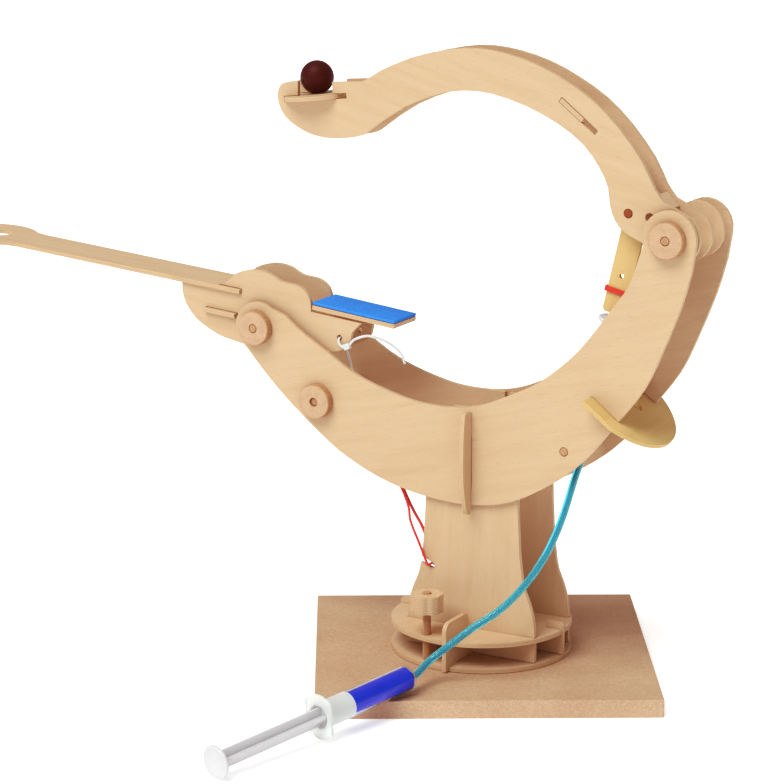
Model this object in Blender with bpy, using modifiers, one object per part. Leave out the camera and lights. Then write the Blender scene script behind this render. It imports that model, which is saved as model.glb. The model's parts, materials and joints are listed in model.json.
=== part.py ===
"""Wooden hydraulic arm kit: a laser-cut plywood turret on an MDF base, with a syringe-driven
upper arm that swings down on to a throwing lever.

Lengths in this file are millimetres; MM turns them into Blender's metres.  The turret has its own
frame: S runs along its plates, D runs from its front plate to its rear plate and Z is up.  The
origin of the whole object is the centre of the base's underside.
"""
import math

import bmesh
import bpy
from mathutils import Matrix, Vector

MM = 0.001

# ---------------------------------------------------------------- driving dimensions
GAP = 0.3                      # clearance between touching pieces
PLY = 3.0                      # plywood thickness
DOWEL_R = 2.7                  # all the dowels but the turret's
DOWEL_HOLE_R = DOWEL_R + GAP

BASE_SIDE = 220.0
BASE_THICK = 12.0

TURRET_YAW = -30.0             # degrees about Z at rest
DISC_R = 60.0
LOWER_DISC_Z = BASE_THICK + GAP
UPPER_DISC_Z = 29.5
PIVOT_DOWEL_R = 5.0
PIVOT_DOWEL_BOTTOM = 3.3
PIVOT_DOWEL_TOP = 37.5

C_INNER_D = 26.8               # inner face of each C plate, either side of the turret's axis
TOWER_INNER_D = C_INNER_D - GAP - PLY
CENTRE_S = 5.5                 # the tower and its fins stand a little off the turret's axis
TOWER_TOP_Z = 180.5

LEVER_PIVOT = (-154.0, 217.5)
ARM_PIVOT = (141.2, 302.6)
TIE_DOWEL = (-107.5, 172.8)
GUIDE_DOWEL = (72.6, 160.5)
LOBE_R_LEFT = 17.0
LOBE_R_RIGHT = 18.0
CAP_R = 11.7
CAP_THICK = 6.0

ARM_FRONT_D = -24.2            # front face of the arm's front plate
ARM_REAR_D = -5.2
CRANK_PIN = (111.2, 315.4)
BALL_R = 11.0

LEVER_FRONT_D = -23.5
LEVER_REAR_D = 3.5
PAD_THICK = 2.0

SYRINGE_TILT = 13.0            # degrees from upright, leaning towards the arm's pivot
SYRINGE_TOP = (96.5, 244.2)    # the slave plunger's thumb disc, on the axis
SYRINGE_D = -13.0
BARREL_R = 8.5
BORE_R = 7.3

MASTER_THUMB = (-166.0, -211.5, 11.0)
MASTER_NOZZLE = (-48.6, -93.2, 22.6)
TUBE_R = 2.4

# ---------------------------------------------------------------- scene and materials


def clear_scene():
    for obj in list(bpy.data.objects):
        bpy.data.objects.remove(obj, do_unlink=True)


clear_scene()
PARTS = bpy.data.collections.new("hydraulic_arm_kit")
CUTTERS = bpy.data.collections.new("cutters")
for group in (PARTS, CUTTERS):
    bpy.context.scene.collection.children.link(group)


def material(name, colour, roughness, alpha=1.0):
    """A Principled BSDF material in one plain colour."""
    mat = bpy.data.materials.new(name)
    mat.use_nodes = True
    shader = mat.node_tree.nodes["Principled BSDF"]
    shader.inputs["Base Color"].default_value = (*colour, 1.0)
    shader.inputs["Roughness"].default_value = roughness
    shader.inputs["Alpha"].default_value = alpha
    return mat


PLYWOOD = material("plywood", (0.74, 0.55, 0.34), 0.6)
MDF = material("mdf", (0.56, 0.34, 0.19), 0.75)
DOWEL_WOOD = material("dowel_wood", (0.72, 0.50, 0.28), 0.55)
CLEAR_PLASTIC = material("clear_plastic", (0.80, 0.85, 0.90), 0.15, 0.4)
WHITE_PLASTIC = material("white_plastic", (0.85, 0.85, 0.85), 0.35)
BLUE_FLUID = material("blue_fluid", (0.0, 0.05, 0.60), 0.1)
TUBE_PLASTIC = material("tube_plastic", (0.02, 0.40, 0.65), 0.2)
BLUE_FOAM = material("blue_foam", (0.02, 0.20, 0.75), 0.8)
RED_RUBBER = material("red_rubber", (0.62, 0.03, 0.02), 0.5)
BALL_COLOUR = material("ball_dark_red", (0.04, 0.005, 0.005), 0.4)
NYLON = material("white_nylon", (0.80, 0.80, 0.80), 0.4)

# ---------------------------------------------------------------- frames


def empty(name, parent=None, location=(0.0, 0.0, 0.0), rotation=(0.0, 0.0, 0.0)):
    """A guide that pieces are parented to; its place is in its parent's frame."""
    obj = bpy.data.objects.new(name, None)
    PARTS.objects.link(obj)
    obj.parent = parent
    obj.location = Vector(location) * MM
    obj.rotation_euler = [math.radians(angle) for angle in rotation]
    return obj


BASE = empty("base_frame")
TURRET = empty("turret_frame", rotation=(0, 0, TURRET_YAW))
ARM = empty("arm_axis", TURRET, (ARM_PIVOT[0], 0, ARM_PIVOT[1]))
LEVER = empty("lever_axis", TURRET, (LEVER_PIVOT[0], 0, LEVER_PIVOT[1]))
LINK = empty("link_axis", TURRET, (CRANK_PIN[0], 0, CRANK_PIN[1]))
SLAVE = empty("slave_axis", TURRET, (SYRINGE_TOP[0], SYRINGE_D, SYRINGE_TOP[1]), (0, SYRINGE_TILT, 0))
KNOB_PLACE = (-13.2, -52.0, 0.0)
KNOB = empty("knob_axis", TURRET, KNOB_PLACE)

master_run = Vector(MASTER_NOZZLE) - Vector(MASTER_THUMB)
MASTER_LENGTH = master_run.length
MASTER = empty("master_axis", BASE, MASTER_THUMB)
MASTER.rotation_euler = master_run.to_track_quat("Z", "Y").to_euler()

# ---------------------------------------------------------------- outline helpers


def arc(centre, radius, start, end, steps):
    """Points round an arc, from start to end in degrees."""
    points = []
    for i in range(steps + 1):
        angle = math.radians(start + (end - start) * i / steps)
        points.append((centre[0] + radius * math.cos(angle), centre[1] + radius * math.sin(angle)))
    return points


def smooth(points, steps=3):
    """A Catmull-Rom curve through the points, in two or three dimensions."""
    vectors = [Vector(p) for p in points]
    padded = [2 * vectors[0] - vectors[1], *vectors, 2 * vectors[-1] - vectors[-2]]
    result = []
    for p0, p1, p2, p3 in zip(padded, padded[1:], padded[2:], padded[3:]):
        for i in range(steps):
            t = i / steps
            bend = (2 * p0 - 5 * p1 + 4 * p2 - p3) * t * t
            twist = (3 * p1 - p0 - 3 * p2 + p3) * t * t * t
            result.append(0.5 * (2 * p1 + (p2 - p0) * t + bend + twist))
    result.append(vectors[-1])
    return [tuple(v) for v in result]


def circle(centre, radius, steps=16):
    return arc(centre, radius, 0, 360 - 360 / steps, steps - 1)


def rectangle(left, right, bottom, top):
    return [(left, bottom), (right, bottom), (right, top), (left, top)]


def angle_of(point, centre):
    return math.degrees(math.atan2(point[1] - centre[1], point[0] - centre[0]))


# ---------------------------------------------------------------- solid helpers


def finish(obj, mat, parent):
    obj.data.materials.clear()
    obj.data.materials.append(mat)
    obj.parent = parent
    return obj


def flat_curve(name, outline, holes, thick, group=PARTS):
    """A filled 2D curve, extruded either side of its own plane."""
    data = bpy.data.curves.new(name, "CURVE")
    data.dimensions = "2D"
    data.fill_mode = "BOTH"
    data.extrude = thick / 2 * MM
    for loop in (outline, *holes):
        spline = data.splines.new("POLY")
        spline.points.add(len(loop) - 1)
        for point, (x, y) in zip(spline.points, loop):
            point.co = (x * MM, y * MM, 0.0, 1.0)
        spline.use_cyclic_u = True
    obj = bpy.data.objects.new(name, data)
    group.objects.link(obj)
    return obj


def shift(points, origin):
    return [(x - origin[0], y - origin[1]) for x, y in points]


def plate(name, outline, front, holes=(), parent=TURRET, origin=(0.0, 0.0), mat=PLYWOOD, thick=PLY):
    """A plate lying along S and Z, its front face at D = front; origin is its parent's S and Z."""
    loops = [shift(hole, origin) for hole in holes]
    obj = flat_curve(name, shift(outline, origin), loops, thick)
    obj.rotation_euler = (math.radians(90), 0, 0)
    obj.location = (0, (front + thick / 2) * MM, 0)
    return finish(obj, mat, parent)


def cross_plate(name, outline, place, slope, holes=(), parent=TURRET, mat=PLYWOOD, thick=PLY):
    """A plate across the plates: outline is along-and-D, it falls by slope degrees going along."""
    obj = flat_curve(name, outline, holes, thick)
    obj.rotation_euler = (0, math.radians(slope), 0)
    obj.location = Vector((place[0], 0, place[1])) * MM
    return finish(obj, mat, parent)


def fin_plate(name, outline, s, parent=TURRET, mat=PLYWOOD):
    """A plate standing along D and Z, centred at S = s."""
    obj = flat_curve(name, outline, (), PLY)
    obj.rotation_euler = (math.radians(90), 0, math.radians(90))
    obj.location = (s * MM, 0, 0)
    return finish(obj, mat, parent)


def to_mesh(curve_obj):
    """The same solid as a welded mesh, so that it can be cut."""
    bpy.context.view_layer.update()
    evaluated = curve_obj.evaluated_get(bpy.context.evaluated_depsgraph_get())
    mesh = bpy.data.meshes.new_from_object(evaluated)
    weld(mesh)
    solid = bpy.data.objects.new(curve_obj.name + "_solid", mesh)
    PARTS.objects.link(solid)
    solid.matrix_world = curve_obj.matrix_world
    name = curve_obj.name
    bpy.data.objects.remove(curve_obj)
    solid.name = name
    return solid


def weld(mesh):
    work = bmesh.new()
    work.from_mesh(mesh)
    bmesh.ops.remove_doubles(work, verts=work.verts, dist=0.00001)
    work.to_mesh(mesh)
    work.free()


def cutter(name, size, place, rotation=(0, 0, 0), parent=TURRET):
    """A box that cuts a slot."""
    bpy.ops.mesh.primitive_cube_add(size=1)
    obj = bpy.context.object
    obj.name = name
    obj.data.transform(Matrix.Diagonal((*[side * MM for side in size], 1.0)))
    return as_cutter(obj, place, rotation, parent)


def round_cutter(name, radius, depth, place, parent=TURRET):
    bpy.ops.mesh.primitive_cylinder_add(vertices=20, radius=radius * MM, depth=depth * MM)
    obj = bpy.context.object
    obj.name = name
    return as_cutter(obj, place, (0, 0, 0), parent)


def as_cutter(obj, place, rotation, parent):
    for owner in list(obj.users_collection):
        owner.objects.unlink(obj)
    CUTTERS.objects.link(obj)
    obj.parent = parent
    obj.location = Vector(place) * MM
    obj.rotation_euler = [math.radians(angle) for angle in rotation]
    obj.hide_render = True
    obj.display_type = "WIRE"
    return obj


def cut(obj, *cutters):
    for tool in cutters:
        boolean = obj.modifiers.new(tool.name, "BOOLEAN")
        boolean.operation = "DIFFERENCE"
        boolean.object = tool
    return obj


def box(name, size, place, mat, parent, bevel=0.0):
    """A box by its size and its centre."""
    bpy.ops.mesh.primitive_cube_add(size=1)
    obj = bpy.context.object
    obj.name = name
    for owner in list(obj.users_collection):
        owner.objects.unlink(obj)
    PARTS.objects.link(obj)
    obj.data.transform(Matrix.Diagonal((*[side * MM for side in size], 1.0)))
    obj.location = Vector(place) * MM
    if bevel:
        edge = obj.modifiers.new("soft_edges", "BEVEL")
        edge.width = bevel * MM
        edge.segments = 2
    return finish(obj, mat, parent)


def turned(name, profile, mat, parent, place=(0, 0, 0), rotation=(0, 0, 0), steps=20):
    """A turned solid.  The profile is radius and height, down the outside; it closes on itself."""
    mesh = bpy.data.meshes.new(name)
    verts = [(radius * MM, 0, height * MM) for radius, height in profile]
    on_axis = profile[0][0] == 0
    edges = [(i, i + 1) for i in range(len(verts) - 1)]
    if not on_axis:
        edges.append((len(verts) - 1, 0))
    mesh.from_pydata(verts, edges, [])
    obj = bpy.data.objects.new(name, mesh)
    PARTS.objects.link(obj)
    screw = obj.modifiers.new("turn", "SCREW")
    screw.axis = "Z"
    screw.steps = steps
    screw.render_steps = steps
    screw.use_merge_vertices = True
    screw.merge_threshold = 0.00001
    obj.location = Vector(place) * MM
    obj.rotation_euler = [math.radians(angle) for angle in rotation]
    return finish(obj, mat, parent)


def rod(name, place, start, end, radius=DOWEL_R, parent=TURRET, mat=DOWEL_WOOD, chamfer=0.4):
    """A dowel along D, from start to end, at place in S and Z."""
    half = (end - start) / 2
    side = [(radius - chamfer, half), (radius, half - chamfer)]
    mirrored = [(r, -h) for r, h in reversed(side)]
    profile = [(0, half), *side, *mirrored, (0, -half)]
    return turned(name, profile, mat, parent, (place[0], (start + end) / 2, place[1]), (90, 0, 0))


def ring(name, place, start, end, outer, inner, parent=TURRET, mat=DOWEL_WOOD, chamfer=0.6):
    """A round cap or washer along D, with a hole for its dowel."""
    half = (end - start) / 2
    outside = [(outer - chamfer, half), (outer, half - chamfer)]
    outside += [(r, -h) for r, h in reversed(outside)]
    profile = [(inner, half), *outside, (inner, -half)]
    return turned(name, profile, mat, parent, (place[0], (start + end) / 2, place[1]), (90, 0, 0))


def tube(name, points, radius, mat, parent, cyclic=False, sides=2):
    """A round tube along the points, as a filled curve."""
    data = bpy.data.curves.new(name, "CURVE")
    data.dimensions = "3D"
    data.bevel_depth = radius * MM
    data.bevel_resolution = sides
    data.use_fill_caps = True
    spline = data.splines.new("POLY")
    spline.points.add(len(points) - 1)
    for point, place in zip(spline.points, points):
        point.co = (*[value * MM for value in place], 1.0)
    spline.use_cyclic_u = cyclic
    obj = bpy.data.objects.new(name, data)
    PARTS.objects.link(obj)
    return finish(obj, mat, parent)


# ---------------------------------------------------------------- base and turret deck


def make_base():
    base = box("mdf_base", (BASE_SIDE, BASE_SIDE, BASE_THICK), (0, 0, BASE_THICK / 2), MDF, BASE, 0.5)
    hole = round_cutter("pivot_hole", PIVOT_DOWEL_R + GAP, 20, (0, 0, 13.0), BASE)
    cut(base, hole)
    height = PIVOT_DOWEL_TOP - PIVOT_DOWEL_BOTTOM
    profile = [(0, height), (PIVOT_DOWEL_R, height), (PIVOT_DOWEL_R, 0), (0, 0)]
    turned("turret_pivot_dowel", profile, DOWEL_WOOD, BASE, (0, 0, PIVOT_DOWEL_BOTTOM))
    retainer = [(PIVOT_DOWEL_R + GAP, 4), (CAP_R, 4), (CAP_R, 0), (PIVOT_DOWEL_R + GAP, 0)]
    turned("pivot_retaining_ring", retainer, DOWEL_WOOD, BASE, (0, 0, UPPER_DISC_Z + PLY + GAP))


def deck_disc(name, bottom):
    profile = [(PIVOT_DOWEL_R + GAP, PLY), (DISC_R, PLY), (DISC_R, 0), (PIVOT_DOWEL_R + GAP, 0)]
    return turned(name, profile, PLYWOOD, TURRET, (0, 0, bottom), steps=48)


SPOKE_INNER = 10.0
SPOKE_SLOT_FROM = 48.0
SLOT = PLY + 2 * GAP


def make_discs():
    lower = deck_disc("lower_disc", LOWER_DISC_Z)
    upper = deck_disc("upper_disc", UPPER_DISC_Z)
    reach = DISC_R + 10
    depth = reach - SPOKE_SLOT_FROM
    middle = (reach + SPOKE_SLOT_FROM) / 2
    low_slot = cutter("front_spoke_low_slot", (SLOT, depth, 10), (CENTRE_S, -middle, LOWER_DISC_Z))
    cut(lower, low_slot)
    deck = UPPER_DISC_Z + PLY / 2
    inner = TOWER_INNER_D + PLY + GAP
    from_tower = inner + 4
    front_place = (CENTRE_S, -(reach + from_tower) / 2, deck)
    front_slot = cutter("front_spoke_slot", (SLOT, reach - from_tower, 10), front_place)
    rear_slot = cutter("rear_spoke_slot", (SLOT, depth, 10), (CENTRE_S, middle, deck))
    right_slot = cutter("right_spoke_slot", (depth, SLOT, 10), (middle, 0, deck))
    left_slot = cutter("left_spoke_slot", (depth, SLOT, 10), (-middle, 0, deck))
    tower_slots = []
    for side in (-1, 1):
        place = (CENTRE_S, side * (TOWER_INNER_D + PLY / 2), deck)
        tower_slots.append(cutter(f"tower_slot_{side}", (94.2, SLOT, 10), place))
    knob_hole = round_cutter("knob_hole", DOWEL_HOLE_R, 10, (KNOB_PLACE[0], KNOB_PLACE[1], deck))
    cut(upper, front_slot, rear_slot, right_slot, left_slot, *tower_slots, knob_hole)


def make_spokes():
    """Four spokes hold the discs apart; the front one also stands up as a fin."""
    low = LOWER_DISC_Z + PLY + GAP
    high = UPPER_DISC_Z - GAP
    tab = UPPER_DISC_Z + PLY + 4.5
    slot = SPOKE_SLOT_FROM + GAP
    rim = DISC_R + 0.5
    run = [(SPOKE_INNER, low), (rim, low), (rim, tab - 2), (rim - 2, tab), (slot, tab), (slot, high)]
    run.append((SPOKE_INNER, high))
    plate("spoke_right", run, -PLY / 2)
    plate("spoke_left", [(-s, z) for s, z in reversed(run)], -PLY / 2)
    behind_tower = TOWER_INNER_D + PLY + GAP
    rear_run = [(behind_tower, low), *run[1:-1], (behind_tower, high)]
    fin_plate("spoke_rear", rear_run, CENTRE_S)
    inner = -(TOWER_INNER_D + PLY + GAP)
    front = -(DISC_R + 3.5)
    step = -(SPOKE_SLOT_FROM + GAP)
    top = 45.0
    fin = [(front, LOWER_DISC_Z + GAP), (step, LOWER_DISC_Z + GAP), (step, low), (inner, low), (inner, high)]
    fin += [(inner - 5, high), (inner - 5, top - 6)]
    fin += arc((inner - 11, top - 6), 6, 0, 90, 4)[1:]
    fin += arc((front + 6, top - 6), 6, 90, 180, 4)
    fin_plate("spoke_front", fin, CENTRE_S)


def make_knob():
    """The turning handle: a notched wooden knob on a dowel through the upper disc."""
    low = LOWER_DISC_Z + PLY + GAP
    top = 61.0
    profile = [(0, top), (DOWEL_R, top), (DOWEL_R, low), (0, low)]
    turned("handle_dowel", profile, DOWEL_WOOD, KNOB)
    outline = []
    lobes = 6
    for i in range(lobes * 8):
        angle = 2 * math.pi * i / (lobes * 8)
        radius = 10.7 - 1.2 * max(0.0, math.cos(lobes * angle)) ** 2
        outline.append((radius * math.cos(angle), radius * math.sin(angle)))
    knob = flat_curve("turning_handle", outline, [circle((0, 0), DOWEL_HOLE_R)], 12.0)
    knob.location = (0, 0, 54.0 * MM)
    finish(knob, PLYWOOD, KNOB)


# ---------------------------------------------------------------- tower and C plates

FIN_SLOT = rectangle(CENTRE_S - SLOT / 2, CENTRE_S + SLOT / 2, 128.3, 161.3)
HOOK = (-24.5, 71.6)           # where the rubber band crosses the tower's slit


def make_tower():
    """Two gable-topped plates that stand on the lower disc and flare out where they meet the deck."""
    foot = LOWER_DISC_Z + PLY + GAP
    flare = [(46.8, 32.0), (46.2, 40.5), (44.4, 49.5), (41.8, 57.0), (39.0, 63.5), (37.3, 70.0)]
    side = [(46.8, foot), *smooth(flare, 2), (35.3, 86.0), (33.8, 112.0), (33.0, 140.0), (33.0, 156.5)]
    notch = [(13.5, TOWER_TOP_Z), (1.8, TOWER_TOP_Z), (1.8, TOWER_TOP_Z - 4.8)]
    half = side + notch
    mirrored = [(-x, z) for x, z in reversed(half)]
    outline = [(x + CENTRE_S, z) for x, z in half + mirrored]
    hook = [(-31.0, HOOK[1] + 4.4), (HOOK[0] + 2.6, HOOK[1] + 0.6), (HOOK[0] + 3.0, HOOK[1] - 3.2)]
    hook.append((-31.6, HOOK[1] + 0.2))
    at = next(i for i, (x, z) in enumerate(outline) if i > len(half) and z < HOOK[1])
    hooked = outline[:at] + hook + outline[at:]
    plate("tower_front", hooked, -(TOWER_INNER_D + PLY), [FIN_SLOT])
    plate("tower_rear", outline, TOWER_INNER_D, [FIN_SLOT])


def c_outline():
    """Both C plates: a broad crescent between the lever's lobe and the arm's lobe."""
    outer = [(-111.3, 154.6), (-91.8, 140.7), (-68.3, 129.0), (-46.0, 121.8), (-22.0, 117.6), (6.0, 116.6)]
    outer += [(36.0, 122.5), (66.4, 139.5), (88.0, 157.5), (106.6, 180.3), (126.6, 206.6), (139.0, 233.0)]
    outer += [(150.2, 261.6), (156.4, 283.0)]
    inner = [(122.2, 291.5), (115.0, 271.5), (104.5, 256.5), (92.0, 239.5), (77.5, 222.5), (56.0, 204.5)]
    inner += [(34.5, 193.0), (12.0, 183.5), (-8.0, 180.0), (-29.8, 180.3), (-48.0, 183.6), (-68.2, 189.5)]
    inner += [(-84.0, 196.3), (-100.7, 206.2), (-120.1, 217.8), (-133.0, 227.5)]
    left_start = angle_of(inner[-1], LEVER_PIVOT)
    left_end = 360 + angle_of((-162.0, 204.0), LEVER_PIVOT)
    left_lobe = arc(LEVER_PIVOT, LOBE_R_LEFT, left_start + 28, left_end, 12)
    right_lobe = arc(ARM_PIVOT, LOBE_R_RIGHT, -8, 198, 13)
    under_left = smooth([left_lobe[-1], (-150.5, 189.5), (-133.0, 172.5), outer[0]])[1:-1]
    return left_lobe + under_left + smooth(outer) + right_lobe + smooth(inner)


FLANGE_PLACE = (108.0, 183.8)
FLANGE_SLOPE = 38.0
FLANGE_INNER = -22.0


def make_c_plates():
    holes = [circle(point, DOWEL_HOLE_R) for point in (LEVER_PIVOT, ARM_PIVOT, TIE_DOWEL, GUIDE_DOWEL)]
    for name, front in (("c_plate_front", -(C_INNER_D + PLY)), ("c_plate_rear", C_INNER_D)):
        crescent = to_mesh(plate(name, c_outline(), front, [*holes, FIN_SLOT]))
        crescent.parent = TURRET
        crescent.matrix_parent_inverse = TURRET.matrix_world.inverted()
        length = 60.0
        reach = FLANGE_INNER - GAP + length / 2
        slope = math.radians(FLANGE_SLOPE)
        middle_s = FLANGE_PLACE[0] + reach * math.cos(slope)
        middle_z = FLANGE_PLACE[1] - reach * math.sin(slope)
        middle = (middle_s, front + PLY / 2, middle_z)
        slot = cutter(name + "_flange_slot", (length, 10, SLOT), middle, (0, FLANGE_SLOPE, 0))
        cut(crescent, slot)


def make_flange_plate():
    """A round-ended cross plate whose two prongs pass through the C plates."""
    half = 41.0
    radius = 44.0
    prong = C_INNER_D - GAP
    inner = -8.0
    sweep = math.degrees(math.asin(half / radius))
    outline = [(FLANGE_INNER, -half), *arc((-15.0, 0.0), radius, -sweep, sweep, 24)]
    outline += [(FLANGE_INNER, half), (FLANGE_INNER, prong), (inner, prong), (inner, -prong)]
    outline.append((FLANGE_INNER, -prong))
    cross_plate("flange_plate", outline, FLANGE_PLACE, FLANGE_SLOPE, [circle((-3.0, 6.5), 4.0)])


def make_fins():
    """Rounded fins outside the C plates, each with a tenon through C plate and tower."""
    outer = C_INNER_D + PLY + GAP
    tenon = TOWER_INNER_D - 2.0
    belly = [(outer + 4.0, 111.2), (outer + 6.4, 114.3), (outer + 9.3, 126.7), (outer + 11.1, 140.4)]
    belly += [(outer + 11.0, 157.9), (outer + 9.4, 175.0), (outer + 8.2, 178.6), (outer + 5.5, 179.4)]
    rear = [(outer, 110.8), *smooth(belly, 2), (outer, 178.3)]
    rear += [(outer, 161.0), (tenon, 161.0), (tenon, 128.6), (outer, 128.6)]
    fin_plate("fin_rear", rear, CENTRE_S)
    fin_plate("fin_front", [(-d, z) for d, z in reversed(rear)], CENTRE_S)


def make_cross_plates():
    reach = C_INNER_D - GAP
    clamp = rectangle(-15.0, 15.0, -reach, reach)
    hole = circle((0.0, SYRINGE_D), BARREL_R + GAP, 32)
    for name, along in (("syringe_clamp_upper", 32.0), ("syringe_clamp_lower", 70.0)):
        tilt = math.radians(SYRINGE_TILT)
        place = (SYRINGE_TOP[0] - along * math.sin(tilt), SYRINGE_TOP[1] - along * math.cos(tilt))
        cross_plate(name, clamp, place, SYRINGE_TILT, [hole])


def make_dowels_and_caps():
    face = C_INNER_D + PLY
    cap_end = face + GAP + CAP_THICK
    for name, place in (("arm_pivot", ARM_PIVOT), ("lever_pivot", LEVER_PIVOT), ("tie", TIE_DOWEL)):
        recess = 1.5 if name == "tie" else -0.2
        rod(f"{name}_dowel", place, -cap_end + recess, cap_end - recess)
        ring(f"{name}_cap_front", place, -cap_end, -face - GAP, CAP_R, DOWEL_HOLE_R)
        ring(f"{name}_cap_rear", place, face + GAP, cap_end, CAP_R, DOWEL_HOLE_R)
    rod("tube_guide_dowel", GUIDE_DOWEL, -face - 0.4, face + 0.4)
    inner = C_INNER_D - GAP
    for name, place, start, end, outer in (
            ("arm_washer", ARM_PIVOT, -inner, ARM_FRONT_D - GAP, 9.0),
            ("arm_spacer_disc", ARM_PIVOT, 13.5, 16.5, 18.0),
            ("lever_washer", LEVER_PIVOT, -inner, LEVER_FRONT_D - GAP, 9.0)):
        ring(name, place, start, end, outer, DOWEL_HOLE_R, mat=PLYWOOD, chamfer=0.2)


# ---------------------------------------------------------------- upper arm


def arm_outline():
    top = [(134.4, 324.5), (128.3, 332.3), (119.6, 348.3), (104.1, 367.3), (86.2, 383.3), (66.0, 395.2)]
    top += [(46.9, 403.5), (26.9, 408.8), (6.9, 411.1), (-13.6, 409.4), (-40.8, 402.7), (-63.3, 393.1)]
    rise = PLY / 2 + GAP
    end = HOLDER_HALF + GAP
    tip = [(-76.1, 385.4), (-99.1, 383.6), holder_point(13.4, rise), holder_point(end, rise)]
    tip += [holder_point(end, -rise), holder_point(-end, -rise), holder_point(-end, rise)]
    tip.append(holder_point(-12.8, rise))
    nose = [(-124.7, 382.4), (-131.5, 381.9), (-137.2, 380.0), (-139.5, 376.3), (-140.2, 372.5)]
    nose += [(-139.0, 366.0), (-134.2, 358.6), (-125.4, 352.7), (-112.8, 348.1), (-97.8, 347.0)]
    under = [(-81.6, 349.2), (-74.2, 351.9), (-66.8, 357.4), (-46.5, 370.6), (-22.7, 380.1)]
    under += [(-3.9, 383.9), (15.9, 383.3), (40.8, 376.9), (63.0, 367.2), (79.9, 355.8), (91.0, 342.5)]
    under += [(97.0, 331.0), (98.5, 320.9), (102.1, 310.5), (109.0, 303.5), (121.0, 298.0)]
    lobe = arc(ARM_PIVOT, LOBE_R_RIGHT, 200, 405, 13)
    return smooth(top, 2) + tip + smooth(nose + under, 2) + lobe


def turned_slot(centre, length, angle):
    """A slot of a ply's width, by its centre, length and angle in degrees."""
    along = Vector((math.cos(math.radians(angle)), math.sin(math.radians(angle))))
    across = Vector((-along.y, along.x)) * (SLOT / 2)
    middle = Vector(centre)
    half = along * (length / 2)
    corners = (middle - half - across, middle + half - across, middle + half + across, middle - half + across)
    return [tuple(corner) for corner in corners]


BRACE_SLOT = ((76.4, 373.2), 31.4, -37.6)   # centre, length and angle; the tenon fills part of it
BRACE_TENON = 19.4
LOWER_BRACE = ((132.3, 323.0), 46.0)
HOLDER_MIDDLE = (-111.9, 372.9)
HOLDER_TILT = 6.0              # degrees, rising towards the arm's pivot
HOLDER_HALF = 23.3
BALL_ALONG = -3.5              # the ball's seat along the holder
SEAT_R = 4.0


def holder_point(along, up):
    """S and Z of a point of the tilted ball holder, from its middle."""
    tilt = math.radians(HOLDER_TILT)
    s = HOLDER_MIDDLE[0] + along * math.cos(tilt) - up * math.sin(tilt)
    z = HOLDER_MIDDLE[1] + along * math.sin(tilt) + up * math.cos(tilt)
    return s, z


def make_arm():
    slot = turned_slot(*BRACE_SLOT)
    crank = circle(CRANK_PIN, DOWEL_HOLE_R)
    spare = circle((125.7, 314.0), 3.0, 12)
    pivot = circle(ARM_PIVOT, DOWEL_HOLE_R)
    for name, front in (("arm_plate_front", ARM_FRONT_D), ("arm_plate_rear", ARM_REAR_D)):
        plate(name, arm_outline(), front, [pivot, crank, spare, slot], ARM, ARM_PIVOT)
    low = ARM_FRONT_D
    high = ARM_REAR_D + PLY
    centre, length, angle = BRACE_SLOT
    back = (length - BRACE_TENON) / 2 - GAP
    place = (centre[0] - back * math.cos(math.radians(angle)) - ARM_PIVOT[0],
             centre[1] - back * math.sin(math.radians(angle)) - ARM_PIVOT[1])
    tenon = BRACE_TENON / 2
    outline = rectangle(-tenon, tenon, low - 0.4, high + 0.4)
    cross_plate("arm_brace_middle", outline, place, -angle, parent=ARM)
    place = (LOWER_BRACE[0][0] - ARM_PIVOT[0], LOWER_BRACE[0][1] - ARM_PIVOT[1])
    outline = rectangle(-6.0, 6.0, low + PLY + GAP, high - PLY - GAP)
    cross_plate("arm_brace_lower", outline, place, LOWER_BRACE[1], parent=ARM)
    make_ball_holder(low, high)
    pin = (CRANK_PIN[0] - ARM_PIVOT[0], CRANK_PIN[1] - ARM_PIVOT[1])
    rod("crank_pin", pin, low - 0.4, high + 0.4, parent=ARM)


def make_ball_holder(low, high):
    """A plate through both arm plates, with a bowed lip each side and a round seat."""
    half = 19.8
    bow = 11.5
    lean = 3.5
    radius = (half * half + bow * bow) / (2 * bow)
    sweep = math.degrees(math.asin(half / radius))
    centre_d = (low + high) / 2
    front_lip = arc((-lean, low - bow + radius), radius, -90 - sweep, -90 + sweep, 14)
    rear_lip = arc((-lean, high + bow - radius), radius, 90 - sweep, 90 + sweep, 14)
    seat = circle((BALL_ALONG, centre_d), SEAT_R)
    place = (HOLDER_MIDDLE[0] - ARM_PIVOT[0], HOLDER_MIDDLE[1] - ARM_PIVOT[1])
    cross_plate("ball_holder", front_lip + rear_lip, place, -HOLDER_TILT, [seat], ARM)


def make_ball():
    """A ball sits in the holder's round seat, just clear of its rim."""
    rise = math.sqrt((BALL_R + GAP) ** 2 - SEAT_R ** 2)
    bpy.ops.mesh.primitive_uv_sphere_add(segments=24, ring_count=12, radius=BALL_R * MM)
    ball = bpy.context.object
    ball.name = "ball"
    for owner in list(ball.users_collection):
        owner.objects.unlink(ball)
    PARTS.objects.link(ball)
    centre_d = (ARM_FRONT_D + ARM_REAR_D + PLY) / 2
    s, z = holder_point(BALL_ALONG, PLY / 2 + rise)
    place = (s - ARM_PIVOT[0], centre_d, z - ARM_PIVOT[1])
    ball.location = Vector(place) * MM
    ball.data.shade_smooth()
    finish(ball, BALL_COLOUR, ARM)


# ---------------------------------------------------------------- link and slave syringe


def along_syringe(along, across=0.0):
    """The S and Z of a point at a distance down the slave syringe's axis."""
    tilt = math.radians(SYRINGE_TILT)
    s = SYRINGE_TOP[0] - along * math.sin(tilt) + across * math.cos(tilt)
    z = SYRINGE_TOP[1] - along * math.cos(tilt) - across * math.sin(tilt)
    return s, z


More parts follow.
